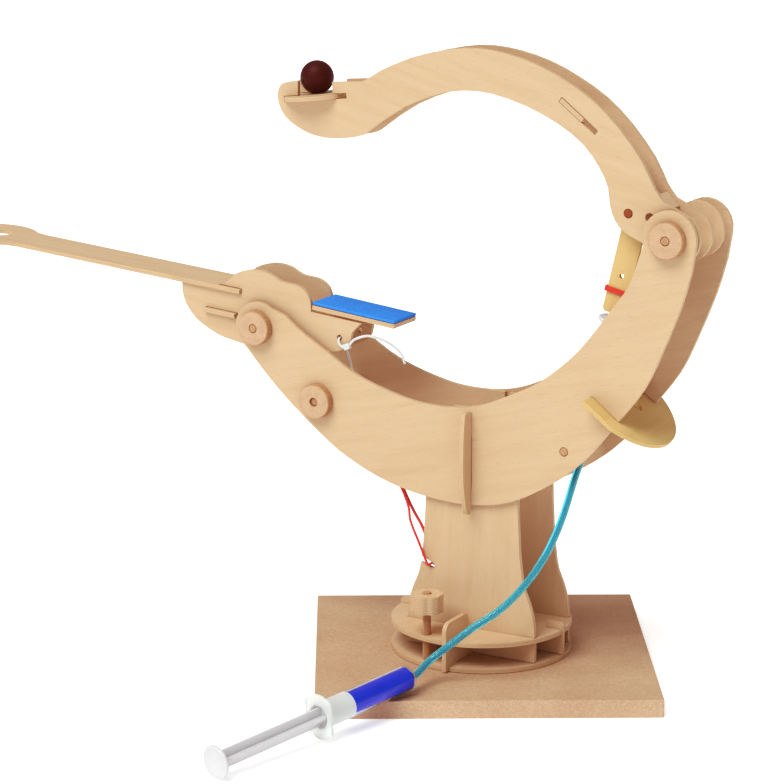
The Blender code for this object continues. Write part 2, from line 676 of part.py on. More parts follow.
def make_link():
    """A strap from the arm's crank pin down to the slave plunger's thumb disc."""
    half = 7.6
    front = SYRINGE_D - PLY / 2
    outline = [along_syringe(-5.5, -half + 1.5), along_syringe(-5.5, half - 1.5), along_syringe(-7.0, half)]
    outline += [along_syringe(-56.0, half)]
    outline += arc(CRANK_PIN, 6.5, 20, 150, 8)
    outline += [along_syringe(-56.0, -half), along_syringe(-7.0, -half)]
    spare = circle(along_syringe(-30.4, 0.0), 1.6, 16)
    plate("link_plate", outline, front, [circle(CRANK_PIN, DOWEL_HOLE_R), spare], LINK, CRANK_PIN)
    outer = rectangle(-half - 1.3, half + 1.3, front - 1.3, front + PLY + 1.3)
    inner = rectangle(-half - GAP, half + GAP, front - GAP, front + PLY + GAP)
    s, z = along_syringe(-20.2)
    place = (s - CRANK_PIN[0], z - CRANK_PIN[1])
    cross_plate("link_band", outer, place, SYRINGE_TILT, [inner], LINK, RED_RUBBER, 3.4)


BARREL_START = 22.0
BARREL_LENGTH = 52.0
NOZZLE = 7.0
NOZZLE_END = BARREL_START + BARREL_LENGTH + NOZZLE
SEAL_AT = 42.0


def barrel_profile(length, nozzle, flange_r):
    """An open barrel, flange at the top and a hollow nozzle at the bottom."""
    wall = BARREL_R - BORE_R
    outside = [(BORE_R, 0), (flange_r, 0), (flange_r, -2.0), (BARREL_R, -2.6), (BARREL_R, -length + 1.5)]
    outside += [(BARREL_R - 1.5, -length), (2.4, -length), (2.0, -length - nozzle)]
    inside = [(1.0, -length - nozzle), (1.0, -length + wall), (BORE_R - 0.5, -length + wall)]
    inside += [(BORE_R, -length + wall + 0.5)]
    return outside + inside


def plunger_profile(length, thumb_r):
    """Thumb disc, rod and the collar that carries the seal."""
    rod_r = 5.0
    return [(0, 2.4), (thumb_r - 0.8, 2.4), (thumb_r, 1.6), (thumb_r, 0.8), (thumb_r - 0.8, 0), (rod_r, 0),
            (rod_r, -length + 2), (6.6, -length + 2), (6.6, -length), (0, -length)]


def seal_profile(length=7.0):
    outer = BORE_R - GAP
    groove = outer - 0.6
    return [(0, 0), (outer, 0), (outer, -2), (groove, -3), (groove, -length + 3), (outer, -length + 2),
            (outer, -length + 1), (0, -length)]


def make_slave_syringe():
    profile = barrel_profile(BARREL_LENGTH, NOZZLE, 12.5)
    turned("slave_barrel", profile, CLEAR_PLASTIC, SLAVE, (0, 0, -BARREL_START))
    turned("slave_plunger", plunger_profile(SEAL_AT, 9.0), WHITE_PLASTIC, SLAVE)
    turned("slave_seal", seal_profile(), WHITE_PLASTIC, SLAVE, (0, 0, -SEAL_AT - GAP))


# ---------------------------------------------------------------- throwing lever


def lever_outline():
    hump = [(-217.6, 241.0), (-199.0, 241.6), (-184.0, 243.2), (-175.3, 250.4), (-166.5, 253.6)]
    hump += [(-157.5, 254.8), (-147.9, 253.1), (-139.4, 248.9), (-131.5, 247.9), (-124.7, 246.6)]
    hump += [(-118.6, 242.0), (-116.4, 236.0)]
    deck = [(-116.3, 230.6), (-78.5, 226.6)]
    beak = [(-79.5, 225.4), (-85.0, 219.7), (-86.2, 213.9), (-91.5, 207.8), (-97.0, 205.9), (-103.5, 204.4)]
    belly = [(-116.0, 200.6), (-134.0, 198.0), (-152.0, 199.0), (-168.9, 203.2), (-184.7, 206.2)]
    belly += [(-196.0, 210.5), (-206.5, 216.8), (-214.5, 226.0), (-217.4, 234.5)]
    return smooth(hump, 2) + deck + smooth(beak, 2) + smooth(belly, 2)


STRIP_SLOPE = 4.9
STRIP_END = (-170.5, 239.0)
DECK_SLOPE = 6.2


def make_lever():
    pivot = circle(LEVER_PIVOT, DOWEL_HOLE_R)
    cord_hole = circle((-94.6, 215.4), 1.9, 16)
    tab_slot = turned_slot((-184.0, 223.0), 30.0, -5.0)
    strip_gap = rectangle(-60.0, 0.0, -PLY / 2 - GAP, PLY / 2 + GAP)
    slope = math.radians(STRIP_SLOPE)
    turned_gap = []
    for x, y in strip_gap:
        s = STRIP_END[0] + x * math.cos(slope) + y * math.sin(slope)
        z = STRIP_END[1] - x * math.sin(slope) + y * math.cos(slope)
        turned_gap.append((s, z))
    for name, front in (("lever_plate_front", LEVER_FRONT_D), ("lever_plate_rear", LEVER_REAR_D)):
        side = to_mesh(plate(name, lever_outline(), front, [pivot, cord_hole, tab_slot], LEVER, LEVER_PIVOT))
        side.parent = LEVER
        side.matrix_parent_inverse = LEVER.matrix_world.inverted()
        length = 70.0
        middle_s = STRIP_END[0] + GAP - length / 2 * math.cos(slope)
        middle_z = STRIP_END[1] + length / 2 * math.sin(slope)
        place = (middle_s - LEVER_PIVOT[0], front + PLY / 2, middle_z - LEVER_PIVOT[1])
        slot = cutter(name + "_strip_slot", (length, 10, SLOT), place, (0, STRIP_SLOPE, 0), LEVER)
        cut(side, slot)
    make_spoon_strip()
    make_deck_and_pad()
    low = LEVER_FRONT_D
    high = LEVER_REAR_D + PLY
    tab = rectangle(-14.7, 9.7, low - 3.0, high + 3.0)
    cross_plate("lever_brace", tab, (-184.0 - LEVER_PIVOT[0], 223.0 - LEVER_PIVOT[1]), 5.0, parent=LEVER)


SPOON_CENTRE = -211.0
SPOON_R = 27.0
SPOON_HOLE_R = 9.0


def make_spoon_strip():
    """A long strip that ends in a round spoon with a hole for the ball."""
    centre_d = (LEVER_FRONT_D + LEVER_REAR_D + PLY) / 2
    half = 17.5
    neck = SPOON_CENTRE + 28.0
    outline = [(0.0, centre_d - half), (0.0, centre_d + half), (neck, centre_d + half)]
    outline += arc((SPOON_CENTRE, centre_d), SPOON_R, 45, 315, 26)
    outline += [(neck, centre_d - half)]
    hole = circle((SPOON_CENTRE, centre_d), SPOON_HOLE_R)
    place = (STRIP_END[0] - LEVER_PIVOT[0], STRIP_END[1] - LEVER_PIVOT[1])
    cross_plate("spoon_strip", outline, place, STRIP_SLOPE, [hole], LEVER)


def make_deck_and_pad():
    low = LEVER_FRONT_D
    high = LEVER_REAR_D + PLY
    slope = math.radians(DECK_SLOPE)
    lift = PLY / 2 + GAP
    start_s = -115.6 - LEVER_PIVOT[0] + lift * math.sin(slope)
    start_z = 231.9 - LEVER_PIVOT[1] + lift * math.cos(slope)
    sheet = rectangle(0.0, 62.0, low, high)
    cross_plate("pad_deck", sheet, (start_s, start_z), DECK_SLOPE, parent=LEVER)
    lift = PLY / 2 + GAP + PAD_THICK / 2
    place = (start_s + lift * math.sin(slope), start_z + lift * math.cos(slope))
    cross_plate("foam_pad", sheet, place, DECK_SLOPE, (), LEVER, BLUE_FOAM, PAD_THICK)


def make_ties():
    """The nylon tie through the lever's beak, and the rubber band from it to the tower's hook."""
    tail = [(-51.7, -12.0, 200.3), (-54.6, -13.5, 207.8), (-62.6, -16.0, 214.2), (-74.1, -19.5, 217.9)]
    tail += [(-82.8, -23.0, 215.6), (-86.5, -25.2, 211.5), (-90.0, -25.6, 209.6), (-93.6, -25.6, 212.0)]
    tail += [(-94.6, -24.4, 215.0), (-94.6, -22.0, 215.4), (-94.6, -19.2, 215.0), (-94.0, -17.6, 211.0)]
    tail += [(-91.5, -15.8, 199.5), (-89.0, -14.5, 189.5)]
    points = [(s - LEVER_PIVOT[0], d, z - LEVER_PIVOT[1]) for s, d, z in smooth(tail, 3)]
    tube("zip_tie", points, 0.8, NYLON, LEVER)
    front = -(TOWER_INNER_D + PLY)
    crossing = [(HOOK[0] - 0.6, front - 2.8), (HOOK[0], front - 1.2), (HOOK[0], front + PLY / 2)]
    crossing += [(HOOK[0], front + PLY + 1.2), (HOOK[0] - 0.6, front + PLY + 2.8)]
    hook_end = [(s, d, HOOK[1]) for s, d in crossing]
    rear_run = [(-33.0, -20.2, 92.3), (-48.7, -16.0, 113.2), (-85.0, -11.2, 181.5)]
    top = [(-87.6, -13.2, 184.4), (-87.4, -16.2, 183.8)]
    front_run = [(-84.0, -18.0, 177.0), (-46.5, -23.4, 116.7), (-39.6, -26.0, 98.4), (-31.4, -28.4, 84.2)]
    loop = smooth([*hook_end, *rear_run, *top, *front_run, hook_end[0]])[:-1]
    tube("rubber_band", loop, 0.9, RED_RUBBER, TURRET, cyclic=True)


# ---------------------------------------------------------------- master syringe and tube

MASTER_BARREL_START = 84.0
MASTER_SEAL_AT = 106.0


def make_master_syringe():
    end = MASTER_LENGTH - 7.0
    length = end - MASTER_BARREL_START
    profile = [(r, -h) for r, h in reversed(barrel_profile(length, 7.0, 14.0))]
    turned("master_barrel", profile, CLEAR_PLASTIC, MASTER, (0, 0, MASTER_BARREL_START))
    profile = [(r, -h) for r, h in reversed(plunger_profile(MASTER_SEAL_AT, 10.6))]
    turned("master_plunger", profile, WHITE_PLASTIC, MASTER)
    profile = [(r, -h) for r, h in reversed(seal_profile())]
    turned("master_seal", profile, WHITE_PLASTIC, MASTER, (0, 0, MASTER_SEAL_AT + GAP))
    start = MASTER_SEAL_AT + GAP + 7.0 + GAP
    depth = end - (BARREL_R - BORE_R) - GAP - start
    outer = BORE_R - GAP
    fluid = [(0, depth), (outer - 0.8, depth), (outer, depth - 0.8), (outer, 0), (0, 0)]
    turned("master_fluid", fluid, BLUE_FLUID, MASTER, (0, 0, start))


def turret_point(s, d, z):
    """A turret-frame point in the base's frame."""
    yaw = math.radians(TURRET_YAW)
    return (s * math.cos(yaw) - d * math.sin(yaw), s * math.sin(yaw) + d * math.cos(yaw), z)


def tube_route():
    """From the master nozzle, round the turret's front and up to the slave nozzle."""
    along = master_run.normalized()
    start = Vector(MASTER_NOZZLE) + along * GAP
    second = Vector(MASTER_NOZZLE) + along * 8.0
    nozzle = along_syringe(NOZZLE_END + GAP)
    straight = along_syringe(NOZZLE_END + 2.0, 0.1)
    beside = along_syringe(NOZZLE_END + 5.5, 1.6)
    below = along_syringe(NOZZLE_END + 11.0, 2.4)
    middle = [(7.1, -85.0, 27.6), (17.1, -77.0, 37.1), (27.8, -70.0, 46.9), (43.9, -60.0, 59.9)]
    middle += [(56.5, -50.0, 75.7), (66.0, -40.0, 94.3), (71.9, -30.0, 115.7), (75.6, -20.0, 140.1)]
    route = [tuple(start), tuple(second)] + [turret_point(*p) for p in middle]
    route.append(turret_point(below[0], SYRINGE_D - 1.5, below[1]))
    route.append(turret_point(beside[0], SYRINGE_D - 0.4, beside[1]))
    route.append(turret_point(straight[0], SYRINGE_D, straight[1]))
    route.append(turret_point(nozzle[0], SYRINGE_D, nozzle[1]))
    return route


def make_tube():
    tube("fluid_tube", smooth(tube_route()), TUBE_R, TUBE_PLASTIC, BASE)


make_base()
make_discs()
make_spokes()
make_knob()
make_tower()
make_c_plates()
make_flange_plate()
make_fins()
make_cross_plates()
make_dowels_and_caps()
make_arm()
make_ball()
make_link()
make_slave_syringe()
make_lever()
make_ties()
make_master_syringe()
make_tube()
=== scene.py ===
import json
import math

import bmesh
import bpy
import numpy as np
from mathutils import Matrix, Vector

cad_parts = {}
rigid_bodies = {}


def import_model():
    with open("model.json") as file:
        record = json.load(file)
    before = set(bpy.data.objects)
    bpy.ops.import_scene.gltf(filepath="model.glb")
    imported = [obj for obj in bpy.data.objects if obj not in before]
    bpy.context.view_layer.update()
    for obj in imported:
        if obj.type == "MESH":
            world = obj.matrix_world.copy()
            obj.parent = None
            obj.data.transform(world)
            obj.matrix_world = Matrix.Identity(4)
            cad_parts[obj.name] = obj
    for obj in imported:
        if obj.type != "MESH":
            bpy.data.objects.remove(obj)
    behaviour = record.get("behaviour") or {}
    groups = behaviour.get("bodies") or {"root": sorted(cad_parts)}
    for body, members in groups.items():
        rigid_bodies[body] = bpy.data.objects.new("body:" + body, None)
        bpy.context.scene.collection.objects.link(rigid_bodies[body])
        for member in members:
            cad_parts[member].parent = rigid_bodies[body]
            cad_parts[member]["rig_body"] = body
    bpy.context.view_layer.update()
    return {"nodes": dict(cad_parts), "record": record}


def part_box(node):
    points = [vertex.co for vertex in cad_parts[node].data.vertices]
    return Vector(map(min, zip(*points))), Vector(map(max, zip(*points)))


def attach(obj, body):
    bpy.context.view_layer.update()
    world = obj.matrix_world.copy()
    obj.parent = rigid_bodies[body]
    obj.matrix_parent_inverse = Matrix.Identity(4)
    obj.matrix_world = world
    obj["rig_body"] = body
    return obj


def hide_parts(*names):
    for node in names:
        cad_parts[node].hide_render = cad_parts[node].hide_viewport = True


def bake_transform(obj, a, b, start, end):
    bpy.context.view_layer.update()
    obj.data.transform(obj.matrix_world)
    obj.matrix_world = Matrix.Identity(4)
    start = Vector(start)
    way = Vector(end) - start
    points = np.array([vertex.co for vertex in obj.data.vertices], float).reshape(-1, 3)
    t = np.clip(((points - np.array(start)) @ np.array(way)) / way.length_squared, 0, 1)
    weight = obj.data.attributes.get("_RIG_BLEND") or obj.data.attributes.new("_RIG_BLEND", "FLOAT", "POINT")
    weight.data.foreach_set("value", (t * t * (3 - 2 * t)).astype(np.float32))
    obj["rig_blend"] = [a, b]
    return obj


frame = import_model()
NODES = frame["nodes"]
SLOTS = {part["node"]: part["material_slot"] for part in frame["record"]["subparts"]}

MM = 0.001
PLY = 3.0 * MM                      # plywood thickness
YAW = math.radians(-30.0)           # the turret at rest
TILT = math.radians(13.0)           # the slave syringe's lean
SLAVE_TOP = (96.5, -13.0, 244.2)    # its thumb disc, in the turret's frame
MASTER_THUMB = Vector((-166.0, -211.5, 11.0)) * MM
MASTER_NOZZLE = Vector((-48.6, -93.2, 22.6)) * MM
SMOOTH_ANGLE = math.radians(35)     # edges sharper than this stay sharp in the shading
MERGE = 1e-6                        # vertices closer than this are one


def place(s, d, z):
    """A point of the turret's frame, in millimetres, as a point of the row frame."""
    x = s * math.cos(YAW) - d * math.sin(YAW)
    y = s * math.sin(YAW) + d * math.cos(YAW)
    return Vector((x, y, z)) * MM


# ---------------------------------------------------------------- shader helpers


def add(tree, kind, inputs=None, **settings):
    """A shader node; an input is a constant, or another node's socket to link."""
    new = tree.nodes.new("ShaderNode" + kind)
    for key, value in settings.items():
        setattr(new, key, value)
    for key, value in (inputs or {}).items():
        if isinstance(value, bpy.types.NodeSocket):
            tree.links.new(value, new.inputs[key])
        else:
            new.inputs[key].default_value = value
    return new


def ramp(tree, factor, *stops):
    """A colour ramp through (position, colour) stops."""
    new = add(tree, "ValToRGB", {"Fac": factor})
    elements = new.color_ramp.elements
    elements.remove(elements[1])
    elements[0].position = stops[0][0]
    elements[0].color = (*stops[0][1], 1.0)
    for position, colour in stops[1:]:
        elements.new(position).color = (*colour, 1.0)
    return new.outputs["Color"]


def mix(tree, factor, a, b, mode="MIX"):
    """Two colours mixed; factor, a and b are each a constant or a socket."""
    new = add(tree, "Mix", data_type="RGBA", blend_type=mode)
    for index, value in ((0, factor), (6, a), (7, b)):
        if isinstance(value, bpy.types.NodeSocket):
            tree.links.new(value, new.inputs[index])
        elif index:
            new.inputs[index].default_value = (*value, 1.0)
        else:
            new.inputs[index].default_value = value
    return new.outputs[2]


def shade(tree, amount, colour, factor, *stops):
    """The colour multiplied, to that amount, by greys through (position, level) stops."""
    greys = ramp(tree, factor, *[(position, (level, level, level)) for position, level in stops])
    return mix(tree, amount, colour, greys, "MULTIPLY")


def noise(tree, vector, stretch, detail=3.0, roughness=0.5):
    """Noise on a vector in metres; stretch is its cycles per metre along each axis."""
    scaled = add(tree, "VectorMath", {0: vector, 1: stretch}, operation="MULTIPLY")
    inputs = {"Vector": scaled.outputs[0], "Scale": 1.0, "Detail": detail, "Roughness": roughness}
    return add(tree, "TexNoise", inputs).outputs["Fac"]


def bump(tree, shader, height, strength):
    """A shallow relief from a grey height."""
    new = add(tree, "Bump", {"Height": height, "Strength": strength, "Distance": 0.2 * MM})
    tree.links.new(new.outputs[0], shader.inputs["Normal"])


def new_material(name, roughness, **sockets):
    """A Principled material; a socket's name is written with underscores for spaces."""
    mat = bpy.data.materials.new(name)
    mat.use_nodes = True
    shader = mat.node_tree.nodes["Principled BSDF"]
    shader.inputs["Roughness"].default_value = roughness
    for key, value in sockets.items():
        shader.inputs[key.replace("_", " ")].default_value = value
    return mat, mat.node_tree, shader


def sheet_vector(tree):
    """Where a point is in its own sheet: along the grain, across it and through it."""
    return add(tree, "Attribute", attribute_name="sheet").outputs["Vector"]


def colour_by_edge(tree, shader, face, edge):
    """One colour on a sheet's faces and another on its cut edges."""
    factor = add(tree, "Attribute", attribute_name="edge").outputs["Fac"]
    tree.links.new(mix(tree, factor, face, edge), shader.inputs["Base Color"])


def tinted(colour, *factors):
    """The colour, each channel times its own factor."""
    return [channel * factor for channel, factor in zip(colour, factors)]


# ---------------------------------------------------------------- materials


def plywood(name, pale, dark):
    """Sanded plywood: fine long grain on the faces, plies and a thin scorched line on cut edges."""
    mat, tree, shader = new_material(name, 0.62, Specular_IOR_Level=0.25)
    vector = sheet_vector(tree)
    broad = noise(tree, vector, (14, 170, 170), 4.0, 0.55)
    fine = noise(tree, vector, (70, 1900, 1900), 2.0)
    fleck = noise(tree, vector, (240, 1500, 1500), 1.0)
    face = ramp(tree, broad, (0.28, dark), (0.52, pale), (0.75, tinted(pale, 1.03, 1.03, 1.03)))
    face = shade(tree, 0.35, face, fine, (0.30, 0.88), (0.62, 1.0))
    face = shade(tree, 0.7, face, fleck, (0.66, 1.0), (0.78, 0.78))

    through = add(tree, "SeparateXYZ", {0: vector}).outputs[2]
    layer = add(tree, "Math", {0: through, 1: PLY / 2, 2: -PLY / 2}, operation="WRAP").outputs[0]
    depth = add(tree, "Math", {0: layer}, operation="ABSOLUTE").outputs[0]
    depth = add(tree, "Math", {0: depth, 1: 2 / PLY}, operation="MULTIPLY").outputs[0]
    core = tinted(pale, 0.97, 0.94, 0.90)
    glue = tinted(pale, 0.82, 0.74, 0.64)
    outer = tinted(pale, 1.04, 1.04, 1.04)
    scorch = tinted(pale, 0.76, 0.64, 0.50)
    plies = ramp(tree, depth, (0.0, core), (0.30, core), (0.34, glue), (0.39, outer), (0.84, outer),
                 (0.98, scorch))
    plies = shade(tree, 0.5, plies, fine, (0.3, 0.72), (0.7, 1.05))

    colour_by_edge(tree, shader, face, plies)
    bump(tree, shader, add(tree, "Math", {0: broad, 1: fine}).outputs[0], 0.18)
    return mat


def turned_wood(name, end, side):
    """A dowel or a slice of one: faint growth rings and pores on its ends, fibres along its side, painted
    darker as shade.
    """
    mat, tree, shader = new_material(name, 0.6, Specular_IOR_Level=0.25)
    vector = sheet_vector(tree)
    off_centre = add(tree, "VectorMath", {0: vector, 1: (0.006, 0.021, 0.0)}).outputs[0]
    flat = add(tree, "VectorMath", {0: off_centre, 1: (1.0, 1.0, 0.0)}, operation="MULTIPLY").outputs[0]
    rings = add(tree, "TexWave", {"Vector": flat, "Scale": 230.0, "Distortion": 2.5, "Detail": 2.0},
                wave_type="RINGS", rings_direction="SPHERICAL").outputs["Fac"]
    pores = noise(tree, vector, (1500, 1500, 60), 2.0)
    blotch = noise(tree, vector, (160, 160, 40), 2.0)
    fibres = noise(tree, vector, (900, 900, 50), 3.0)
    ends = mix(tree, 0.35, end, mix(tree, rings, tinted(end, 0.78, 0.78, 0.78), end))
    ends = shade(tree, 0.8, ends, pores, (0.30, 0.74), (0.60, 1.0))
    ends = shade(tree, 0.6, ends, blotch, (0.30, 0.86), (0.70, 1.05))
    # The side colour is darker than the end colour: painted shade on the side, under the real fibres.
    side_fibres_painted_shade = shade(tree, 0.8, side, fibres, (0.25, 0.72), (0.65, 1.05))
    colour_by_edge(tree, shader, ends, side_fibres_painted_shade)
    bump(tree, shader, pores, 0.2)
    return mat


def fibreboard(name, pale, dark):
    """MDF: an even brown with fine pale and dark fibres."""
    mat, tree, shader = new_material(name, 0.8, Specular_IOR_Level=0.2)
    vector = sheet_vector(tree)
    cloud = noise(tree, vector, (26, 26, 26), 3.0)
    specks = noise(tree, vector, (1300, 1300, 1300), 2.0, 0.7)
    fibres = noise(tree, vector, (420, 900, 900), 3.0, 0.7)
    base = ramp(tree, cloud, (0.35, dark), (0.65, pale))
    base = shade(tree, 0.55, base, specks, (0.32, 0.66), (0.50, 1.0), (0.70, 1.22))
    base = shade(tree, 0.6, base, fibres, (0.35, 0.84), (0.65, 1.1))
    colour_by_edge(tree, shader, base, mix(tree, 1.0, base, (1.04, 1.04, 1.10), "MULTIPLY"))
    bump(tree, shader, specks, 0.25)
    return mat


def mottled(name, colour, roughness, cycles, depth, strength, **sockets):
    """A plain colour broken up by fine noise, with a matching bump."""
    mat, tree, shader = new_material(name, roughness, **sockets)
    vector = add(tree, "TexCoord").outputs["Object"]
    grains = noise(tree, vector, (cycles, cycles, cycles), 2.0)
    slow = noise(tree, vector, (45, 45, 45), 2.0)
    base = shade(tree, 1.0, colour, grains, (0.30, 1 - depth), (0.65, 1.0))
    base = shade(tree, 1.0, base, slow, (0.30, 1 - depth / 2), (0.70, 1.0))
    tree.links.new(base, shader.inputs["Base Color"])
    bump(tree, shader, grains, strength)
    return mat


PLYWOOD = plywood("plywood", (0.585, 0.425, 0.262), (0.56, 0.395, 0.238))
# A brighter, yellower copy of the plywood: painted light, standing in for warm bounce light and lifting two
# pieces that sit in shade.
PLY_PAINTED_LIGHT = plywood("plywood_painted_light", (0.64, 0.46, 0.205), (0.60, 0.42, 0.175))
MDF = fibreboard("mdf", (0.52, 0.365, 0.23), (0.48, 0.33, 0.20))
# Each turned wood's second colour, for its side, is darker than its end colour: painted shade on the side.
DOWEL_WOOD = turned_wood("dowel_wood", (0.60, 0.41, 0.255), (0.47, 0.285, 0.15))
STAINED_PIN = turned_wood("stained_pin", (0.34, 0.085, 0.035), (0.28, 0.08, 0.03))
FOAM = mottled("blue_foam", (0.04, 0.30, 0.80), 0.95, 1400, 0.22, 0.5, Specular_IOR_Level=0.1)
RED = mottled("red_rubber", (0.68, 0.045, 0.03), 0.45, 900, 0.15, 0.15)
WHITE = mottled("white_plastic", (0.62, 0.62, 0.63), 0.38, 500, 0.03, 0.03)
NYLON = mottled("white_nylon", (0.66, 0.66, 0.65), 0.35, 700, 0.04, 0.05, Subsurface_Weight=0.1)
BALL = mottled("ball_dark_red", (0.05, 0.003, 0.003), 0.5, 900, 0.25, 0.2, Specular_IOR_Level=0.2)
FLUID = mottled("blue_fluid", (0.0, 0.055, 0.66), 0.2, 120, 0.10, 0.0)
CORE = mottled("tube_fluid", (0.002, 0.16, 0.26), 0.2, 160, 0.15, 0.0)
CLEAR = mottled("clear_plastic", (0.80, 0.88, 1.0), 0.05, 300, 0.01, 0.0,
                Transmission_Weight=1.0, IOR=1.08)
FROSTED = mottled("frosted_plastic", (0.90, 0.93, 0.91), 0.35, 300, 0.02, 0.02,
                  Transmission_Weight=0.45, IOR=1.3)
TUBE = mottled("tube_plastic", (0.10, 0.80, 0.95), 0.05, 400, 0.02, 0.0,
               Transmission_Weight=0.75, IOR=1.35)

# ---------------------------------------------------------------- mesh helpers


def new_object(name, mesh, mat):
    """An object of one material, shaded smooth except over its sharp edges."""
    obj = bpy.data.objects.new(name, mesh)
    bpy.context.scene.collection.objects.link(obj)
    mesh.materials.clear()
    mesh.materials.append(mat)
    for polygon in mesh.polygons:
        polygon.use_smooth = True
    mesh.set_sharp_from_angle(angle=SMOOTH_ANGLE)
    return obj


def hand_over(obj, node):
    """obj stands for that CAD node, on its body; the node itself is hidden."""
    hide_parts(node)
    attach(obj, NODES[node]["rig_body"])
    return obj


def sheet_axes(mesh):
    """Along the grain, across it and through the sheet, from the mesh's own shape."""
    areas = {}
    for polygon in mesh.polygons:
        # A fixed slanting direction gives a sheet's two opposite faces one key.
        normal = polygon.normal if polygon.normal.dot(Vector((1.0, 0.31, 0.12))) > 0 else -polygon.normal
        key = tuple(round(c, 2) for c in normal)
        areas[key] = areas.get(key, 0.0) + polygon.area
    through = Vector(max(areas, key=areas.get)).normalized()
    points = np.array([v.co for v in mesh.vertices])
    flat = points - points.mean(axis=0)
    flat = flat - np.outer(flat @ np.array(through), np.array(through))
    values, vectors = np.linalg.eigh(flat.T @ flat)
    along = Vector(vectors[:, int(np.argmax(values))]).normalized()
    if along.dot(Vector((1.0, 0.2, 0.1))) < 0:
        along.negate()
    return along, through.cross(along), through


def add_sheet_attributes(mesh, seed):
    """The point attribute 'sheet' and the face attribute 'edge' that the wood materials read."""
    along, across, through = sheet_axes(mesh)
    depths = [vertex.co.dot(through) for vertex in mesh.vertices]
    middle = (max(depths) + min(depths)) / 2
    shift = Vector((0.37 * seed, 0.23 * seed, 0.0))
    sheet = mesh.attributes.new("sheet", "FLOAT_VECTOR", "POINT")
    for vertex, depth in zip(mesh.vertices, depths):
        co = vertex.co
        sheet.data[vertex.index].vector = Vector((co.dot(along), co.dot(across), depth - middle)) + shift
    edge = mesh.attributes.new("edge", "FLOAT", "FACE")
    for polygon in mesh.polygons:
        edge.data[polygon.index].value = 0.0 if abs(polygon.normal.dot(through)) > 0.9 else 1.0


def open_node(node, flat_angle):
    """A copy of a CAD node's mesh, and a bmesh of it with its flat faces merged."""
    mesh = NODES[node].data.copy()
    work = bmesh.new()
    work.from_mesh(mesh)
    bmesh.ops.remove_doubles(work, verts=work.verts, dist=MERGE)
    bmesh.ops.dissolve_limit(work, angle_limit=math.radians(flat_angle), verts=work.verts, edges=work.edges)
    return mesh, work


def ease_and_close(mesh, work, edges, width, segments, profile):
    """Bevels the edges, by a width in millimetres, and writes the bmesh back."""
    bmesh.ops.bevel(work, geom=edges, offset=width * MM, segments=segments, profile=profile,
                    affect="EDGES", clamp_overlap=True)
    work.to_mesh(mesh)
    work.free()


def refined(node, mat, seed, bevel=0.14, segments=1):
    """A CAD piece with eased edges, carrying the attributes of its wood material."""
    mesh, work = open_node(node, 0.6)
    mesh.name = node + "_look"
    sharp = [e for e in work.edges if e.is_manifold and e.calc_face_angle(0.0) > math.radians(40)]
    ease_and_close(mesh, work, sharp, bevel, segments, 0.6)
    for name in list(mesh.attributes.keys()):
        if name.startswith("custom_normal"):
            mesh.attributes.remove(mesh.attributes[name])
    add_sheet_attributes(mesh, seed)
    return hand_over(new_object(node + "_look", mesh, mat), node)


def axis_matrix(origin, direction, side):
    """Z along direction, X as near side as it can be."""
    z = Vector(direction).normalized()
    y = z.cross(Vector(side)).normalized()
    x = y.cross(z)
    matrix = Matrix((x, y, z)).transposed().to_4x4()
    matrix.translation = origin
    return matrix


def lathe(profile, matrix, flat=None, segments=64, loop=False):
    """Vertices and faces of a turned solid.  Profile is radius and height in millimetres.
    flat cuts what is wider than that, either side, and loop joins the profile's two ends."""
    verts = []
    rings = []
    for radius, height in profile:
        count = 1 if radius == 0 else segments
        ring = []
        for i in range(count):
            angle = 2 * math.pi * i / segments
            x, y = radius * math.cos(angle), radius * math.sin(angle)
            if flat is not None:
                y = max(-flat, min(flat, y))
            ring.append(len(verts))
            verts.append(matrix @ (Vector((x, y, height)) * MM))
        rings.append(ring)
    faces = []
    pairs = list(zip(rings, rings[1:])) + ([(rings[-1], rings[0])] if loop else [])
    for a, b in pairs:
        for i in range(segments):
            j = (i + 1) % segments
            quad = [a[i % len(a)], a[j % len(a)], b[j % len(b)], b[i % len(b)]]
            faces.append(list(dict.fromkeys(quad)))
    return verts, faces


def prism(outline, bottom, top, matrix):
    """Vertices and faces of an outline in millimetres, raised from bottom to top."""
    count = len(outline)
    verts = [matrix @ (Vector((x, y, h)) * MM) for h in (bottom, top) for x, y in outline]
    faces = [list(reversed(range(count))), list(range(count, 2 * count))]
    for i in range(count):
        j = (i + 1) % count
        faces.append([i, j, count + j, count + i])
    return verts, faces


def sweep(points, section, closed=False):
    """Vertices and faces of a section, in metres, carried along points without twisting."""
    count = len(points)
    side = Vector((0.0, 0.0, 1.0))
    verts = []
    for i, point in enumerate(points):
        after = points[(i + 1) % count] if closed else points[min(i + 1, count - 1)]
        before = points[i - 1] if closed else points[max(i - 1, 0)]
        along = (after - before).normalized()
        side = (side - along * side.dot(along)).normalized()
        other = along.cross(side)
        verts += [point + side * x + other * y for x, y in section]
    size = len(section)
    faces = []
    for i in range(count if closed else count - 1):
        a, b = i * size, ((i + 1) % count) * size
        for k in range(size):
            n = (k + 1) % size
            faces.append([a + k, a + n, b + n, b + k])
    if not closed:
        faces.append(list(reversed(range(size))))
        faces.append(list(range((count - 1) * size, count * size)))
    return verts, faces


def build(name, mat, *solids):
    """One object from several solids, each a pair of vertices and faces."""
    verts, faces = [], []
    for solid_verts, solid_faces in solids:
        start = len(verts)
        verts += solid_verts
        faces += [[start + i for i in face] for face in solid_faces]
    mesh = bpy.data.meshes.new(name)
    mesh.from_pydata([tuple(v) for v in verts], [], faces)
    work = bmesh.new()
    work.from_mesh(mesh)
    bmesh.ops.recalc_face_normals(work, faces=work.faces)
    work.to_mesh(mesh)
    work.free()
    return new_object(name, mesh, mat)


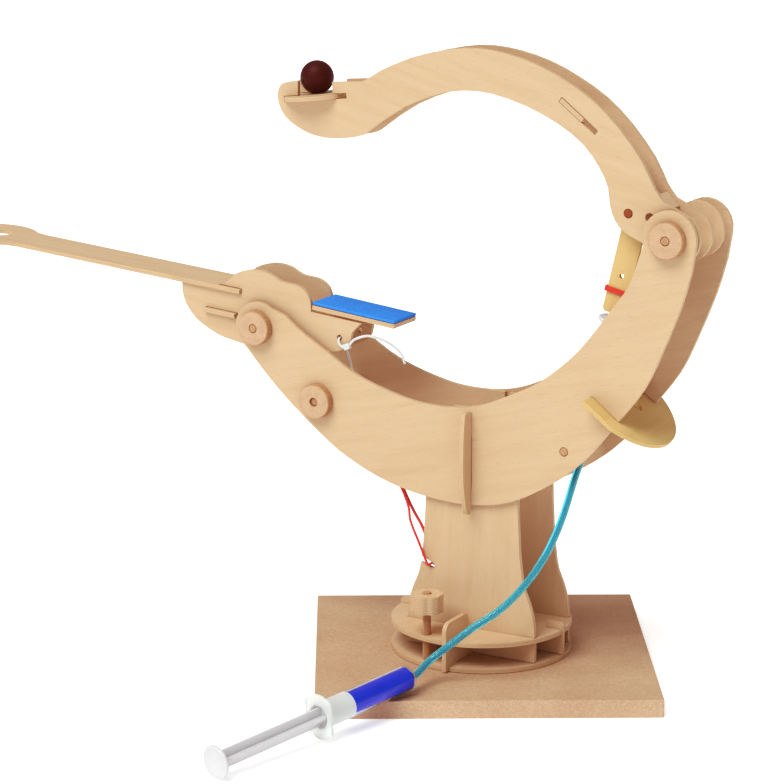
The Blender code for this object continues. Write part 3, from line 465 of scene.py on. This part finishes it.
def smooth_line(points, steps):
    """A Catmull-Rom line through the points."""
    padded = [2 * points[0] - points[1], *points, 2 * points[-1] - points[-2]]
    line = []
    for p0, p1, p2, p3 in zip(padded, padded[1:], padded[2:], padded[3:]):
        for i in range(steps):
            t = i / steps
            bend = (2 * p0 - 5 * p1 + 4 * p2 - p3) * t * t
            twist = (3 * p1 - p0 - 3 * p2 + p3) * t * t * t
            line.append(0.5 * (2 * p1 + (p2 - p0) * t + bend + twist))
    line.append(points[-1])
    return line


def ring_section(rx, ry, steps):
    """An ellipse, in millimetres, as a section in metres."""
    angles = [2 * math.pi * i / steps for i in range(steps)]
    return [(rx * MM * math.cos(a), ry * MM * math.sin(a)) for a in angles]


# ---------------------------------------------------------------- wooden pieces

# The link and flange plates take the plywood with painted light in place of the plain plywood.
PAINTED_LIGHT_PIECES = ("link_plate", "flange_plate")
for index, node in enumerate(sorted(NODES)):
    if SLOTS[node] == "plywood":
        refined(node, PLY_PAINTED_LIGHT if node in PAINTED_LIGHT_PIECES else PLYWOOD, index)
    elif SLOTS[node] == "mdf":
        refined(node, MDF, index, 0.5, 2)
    elif SLOTS[node] == "dowel_wood":
        refined(node, STAINED_PIN if node == "crank_pin" else DOWEL_WOOD, index, 0.35, 2)

# ---------------------------------------------------------------- syringes

# Heights run down from the thumb disc, or in barrel() from the finger flange.
BARREL_R = 8.5
BORE_R = 7.3
FLANGE_R = 14.5
FLANGE_FLAT = 11.0                  # half of the finger flange's narrow width
WET = -25.0                         # below this the water makes the barrel look clear
SEAL_GAP = 0.3


def barrel(length, nozzle, matrix):
    """A hollow barrel hanging below its oblong finger flange."""
    tip = -length - nozzle
    outside = [(BORE_R + 0.3, 0), (FLANGE_R - 0.4, 0), (FLANGE_R, -0.4), (FLANGE_R, -1.6)]
    outside += [(FLANGE_R - 0.4, -2.0), (BARREL_R + 0.4, -2.1), (BARREL_R, -2.8), (BARREL_R, WET)]
    outside += [(BARREL_R, -length + 2.4), (BARREL_R - 0.6, -length + 1.0), (BARREL_R - 2.2, -length)]
    outside += [(3.0, -length), (2.5, -length - 0.5), (2.0, tip + 0.3), (1.8, tip)]
    inside = [(1.0, tip), (1.0, -length + 1.2), (BORE_R - 0.8, -length + 1.2), (BORE_R, -length + 2.0)]
    inside += [(BORE_R, WET), (BORE_R, -0.3)]
    return lathe(outside + inside, matrix, flat=FLANGE_FLAT, segments=72, loop=True)


def plunger(length, thumb_r, matrix):
    """A thumb disc, a cross-shaped rod, the collar behind the seal and a stiffening disc."""
    rim = thumb_r - 0.6
    thumb = [(0, 2.0), (rim - 1.4, 2.0), (rim - 0.8, 2.4), (rim, 2.3)]
    thumb += [(thumb_r, 1.7), (thumb_r, 0.6), (rim, 0), (0, 0)]
    reach, rib = 6.0, 0.75
    cross = [(rib, rib), (rib, reach), (-rib, reach), (-rib, rib), (-reach, rib), (-reach, -rib)]
    cross += [(-rib, -rib), (-rib, -reach), (rib, -reach), (rib, -rib), (reach, -rib), (reach, rib)]
    rod = prism(cross, -length + 2.0, 0.2, matrix)
    disc_r = 6.7
    collar = [(0, -length + 2.2), (disc_r - 0.4, -length + 2.2), (disc_r, -length + 1.8)]
    collar += [(disc_r, -length + 0.3), (disc_r - 0.3, -length), (0, -length)]
    brace_top, brace_low = -length + 15.0, -length + 13.8
    brace = [(0, brace_top), (disc_r, brace_top), (disc_r, brace_low), (0, brace_low)]
    return lathe(thumb, matrix), rod, lathe(collar, matrix), lathe(brace, matrix)


def seal(top, matrix):
    """A plunger's seal, with a groove between its two lips."""
    outer = BORE_R - 0.3
    profile = [(0, 0), (outer - 0.4, 0), (outer, -0.4), (outer, -1.6), (outer - 0.6, -2.4)]
    profile += [(outer - 0.6, -4.6), (outer, -5.3), (outer, -6.2), (outer - 0.8, -6.6)]
    profile += [(2.0, -7.0), (0, -7.0)]
    return lathe([(r, top + h) for r, h in profile], matrix)


def lowered(matrix, distance):
    """The matrix moved back along its own axis by millimetres."""
    return matrix @ Matrix.Translation((0, 0, -distance * MM))


SLAVE_AXIS = place(math.sin(TILT), 0.0, math.cos(TILT)) / MM
SLAVE = axis_matrix(place(*SLAVE_TOP), SLAVE_AXIS, place(1, 0, 0) / MM)
SLAVE_START = 22.0                  # where the barrel starts
SLAVE_LENGTH = 52.0
SLAVE_NOZZLE_LENGTH = 7.0
SLAVE_SEAL = 42.0                   # where the rod ends


def slave_syringe():
    body = barrel(SLAVE_LENGTH, SLAVE_NOZZLE_LENGTH, lowered(SLAVE, SLAVE_START))
    hand_over(build("slave_barrel_look", FROSTED, body), "slave_barrel")
    hand_over(build("slave_plunger_look", WHITE, *plunger(SLAVE_SEAL, 9.0, SLAVE)), "slave_plunger")
    hand_over(build("slave_seal_look", WHITE, seal(-SLAVE_SEAL - SEAL_GAP, SLAVE)), "slave_seal")


MASTER_RUN = MASTER_NOZZLE - MASTER_THUMB
MASTER = axis_matrix(MASTER_THUMB, -MASTER_RUN, (0, 0, 1))
MASTER_START = 84.0                 # where the barrel starts
MASTER_SEAL = 101.0                 # where the rod ends
MASTER_NOZZLE_LENGTH = 2.8
MASTER_END = MASTER_RUN.length / MM - MASTER_NOZZLE_LENGTH


def master_syringe():
    """The syringe on the table, its barrel frosted where dry and clear over the water."""
    body = barrel(MASTER_END - MASTER_START, MASTER_NOZZLE_LENGTH, lowered(MASTER, MASTER_START))
    look = hand_over(build("master_barrel_look", FROSTED, body), "master_barrel")
    look.data.materials.append(CLEAR)
    for polygon in look.data.polygons:
        depth = (MASTER.inverted() @ polygon.center).z / MM
        polygon.material_index = 1 if depth < -MASTER_START + WET else 0
    hand_over(build("master_plunger_look", WHITE, *plunger(MASTER_SEAL, 10.6, MASTER)), "master_plunger")
    hand_over(build("master_seal_look", WHITE, seal(-MASTER_SEAL - SEAL_GAP, MASTER)), "master_seal")


def master_fluid():
    """The blue water between the master's seal and its nozzle."""
    top = -(MASTER_SEAL + 7.6)
    end = -(MASTER_END - 1.6)
    fluid_r = BORE_R - 0.3
    fluid = [(0, top), (fluid_r - 0.4, top), (fluid_r, top - 0.5), (fluid_r, end + 0.8)]
    fluid += [(fluid_r - 0.8, end), (0, end)]
    hand_over(build("master_fluid_look", FLUID, lathe(fluid, MASTER)), "master_fluid")


slave_syringe()
master_syringe()
master_fluid()

# ---------------------------------------------------------------- tube

TUBE_R = 2.4
CORE_R = 1.0


def tube_route():
    """From the master nozzle, round the turret's front and up to the slave nozzle."""
    along = MASTER_RUN.normalized()
    route = [MASTER_NOZZLE + along * 0.3 * MM, MASTER_NOZZLE + along * 5.0 * MM]
    for point in ((7.1, -85.0, 27.6), (17.1, -77.0, 37.1), (27.8, -70.0, 46.9), (43.9, -60.0, 59.9),
                  (56.5, -50.0, 75.7), (66.0, -40.0, 94.3), (71.9, -30.0, 115.7), (75.6, -20.0, 140.1)):
        route.append(place(*point))
    nozzle_end = SLAVE_START + SLAVE_LENGTH + SLAVE_NOZZLE_LENGTH
    for down, across, forward in ((11.0, 2.4, 1.5), (5.5, 1.6, 0.4), (2.0, 0.1, 0.0), (0.3, 0.0, 0.0)):
        point = SLAVE @ (Vector((across, 0.0, -(nozzle_end + down))) * MM)
        route.append(point + place(0, -forward, 0))
    return route


def fluid_tube():
    """The clear blue tube and the darker water in it."""
    route = tube_route()
    line = smooth_line(route, 10)
    tube_look = build("fluid_tube_look", TUBE, sweep(line, ring_section(TUBE_R, TUBE_R, 24)))
    core_look = build("fluid_tube_core", CORE, sweep(line, ring_section(CORE_R, CORE_R, 16)))
    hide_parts("fluid_tube")
    for piece in (tube_look, core_look):
        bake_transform(piece, "base", "turret", tuple(route[1]), tuple(route[7]))


fluid_tube()

# ---------------------------------------------------------------- soft and small pieces


def foam_pad():
    """The foam sheet on the lever's deck, its edges crushed a little round."""
    mesh, work = open_node("foam_pad", 1.0)
    ease_and_close(mesh, work, list(work.edges), 0.5, 3, 0.5)
    pad = hand_over(new_object("foam_pad_look", mesh, FOAM), "foam_pad")


def ball():
    """A moulded ball with the faint groove where its halves meet."""
    low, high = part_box("ball")
    centre = (Vector(low) + Vector(high)) / 2
    radius = (high[2] - low[2]) / 2 / MM
    groove = 0.12
    steps = 48
    profile = [(0, radius)]
    for i in range(1, steps):
        angle = math.pi * i / steps
        dent = groove if i == steps // 2 else 0.0
        profile.append(((radius - dent) * math.sin(angle), (radius - dent) * math.cos(angle)))
    profile.append((0, -radius))
    matrix = axis_matrix(centre, (0.35, 0.25, 1.0), (1, 0, 0))
    hand_over(build("ball_look", BALL, lathe(profile, matrix)), "ball")


def rubber_band():
    """The band from the slit in the tower's front plate, round the lever's beak and back."""
    front = -26.5                   # front face of the tower's front plate
    hook_s, hook_z = -24.5, 71.6
    loop = [(hook_s - 0.6, front - 2.8, hook_z), (hook_s, front - 1.2, hook_z)]
    loop += [(hook_s, front + 1.5, hook_z), (hook_s, front + 4.2, hook_z)]
    loop += [(hook_s - 0.6, front + 5.8, hook_z), (-33.0, -20.2, 92.3), (-48.7, -16.0, 113.2)]
    loop += [(-85.0, -11.2, 181.5), (-87.6, -13.2, 184.4), (-87.4, -16.2, 183.8), (-84.0, -18.0, 177.0)]
    loop += [(-46.5, -23.4, 116.7), (-39.6, -26.0, 98.4), (-31.4, -28.4, 84.2)]
    points = [place(*p) for p in loop]
    line = smooth_line(points + [points[0]], 6)[:-1]
    band = build("rubber_band_look", RED, sweep(line, ring_section(1.0, 0.75, 12), True))
    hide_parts("rubber_band")
    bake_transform(band, "turret", "throwing_lever", tuple(points[0]), tuple(points[8]))


def zip_tie():
    """The nylon tie through the lever's beak: a strap round it and a small plain head."""
    tail = [(-51.7, -12.0, 200.3), (-54.6, -13.5, 207.8), (-62.6, -16.0, 214.2), (-74.1, -19.5, 217.9)]
    tail += [(-82.8, -23.0, 215.6), (-86.5, -25.2, 211.5), (-90.0, -25.6, 209.6), (-93.6, -25.6, 212.0)]
    tail += [(-94.6, -24.4, 215.0), (-94.6, -22.0, 215.4), (-94.6, -19.2, 215.0), (-94.0, -17.6, 211.0)]
    tail += [(-91.5, -15.8, 199.5), (-89.0, -14.5, 189.5)]
    strap = sweep(smooth_line([place(*p) for p in tail], 6), ring_section(0.85, 0.55, 10))
    head_place = axis_matrix(place(-88.0, -25.2, 210.6), place(1, 0, 0.45) / MM, (0, 0, 1))
    head = prism([(-1.9, -1.2), (1.9, -1.2), (1.9, 1.2), (-1.9, 1.2)], -2.3, 2.3, head_place)
    hand_over(build("zip_tie_look", NYLON, strap, head), "zip_tie")


foam_pad()
ball()
rubber_band()
refined("link_band", RED, 1, 0.3, 2)
zip_tie()

# ---------------------------------------------------------------- floor, light and camera

FLOOR_SIZE = 40.0
FLOOR_ALBEDO = 0.93
FLOOR_GLOW = 0.4
WORLD_STRENGTH = 0.5
SUN_STRENGTH = 2.6
SUN_ANGLE = math.radians(40)
TOWARDS_SUN = (-0.45, -0.5, 1.0)
CAMERA_PLACE = (-0.087568, -1.77424, 0.60813)
CAMERA_TURN = (math.radians(76.588), 0, math.radians(-0.758))
CAMERA_LENS = 128.70
GREEN_BENDS = ((0.195, 0.135), (0.43, 0.405))
BLUE_BENDS = ((0.107, 0.064), (0.25, 0.215), (0.5, 0.48))


def studio_floor():
    bpy.ops.mesh.primitive_plane_add(size=FLOOR_SIZE)
    floor = bpy.context.object
    floor.name = "floor"
    mat, _, shader = new_material("floor", 0.9, Specular_IOR_Level=0.0)
    shader.inputs["Base Color"].default_value = (FLOOR_ALBEDO, FLOOR_ALBEDO, FLOOR_ALBEDO, 1)
    shader.inputs["Emission Color"].default_value = (1, 1, 1, 1)
    shader.inputs["Emission Strength"].default_value = FLOOR_GLOW
    floor.data.materials.append(mat)


def light():
    """An even white surround and one wide, soft sun."""
    world = bpy.data.worlds.new("studio")
    bpy.context.scene.world = world
    world.use_nodes = True
    background = world.node_tree.nodes["Background"]
    background.inputs["Color"].default_value = (1, 1, 1, 1)
    background.inputs["Strength"].default_value = WORLD_STRENGTH
    sun = bpy.data.objects.new("key", bpy.data.lights.new("key", "SUN"))
    bpy.context.scene.collection.objects.link(sun)
    sun.data.energy = SUN_STRENGTH
    sun.data.angle = SUN_ANGLE
    sun.rotation_euler = Vector(TOWARDS_SUN).to_track_quat("Z", "Y").to_euler()


def camera():
    """The camera, and tone curves that warm the darker tones."""
    cam = bpy.data.objects.new("camera", bpy.data.cameras.new("camera"))
    bpy.context.scene.collection.objects.link(cam)
    cam.location = CAMERA_PLACE
    cam.rotation_euler = CAMERA_TURN
    cam.data.lens = CAMERA_LENS
    cam.data.sensor_width = 36
    bpy.context.scene.camera = cam
    view = bpy.context.scene.view_settings
    view.view_transform = "Standard"
    view.use_curve_mapping = True
    curves = view.curve_mapping.curves
    for curve, bends in ((curves[1], GREEN_BENDS), (curves[2], BLUE_BENDS)):
        for bend in bends:
            curve.points.new(*bend)
    view.curve_mapping.update()


studio_floor()
light()
camera()
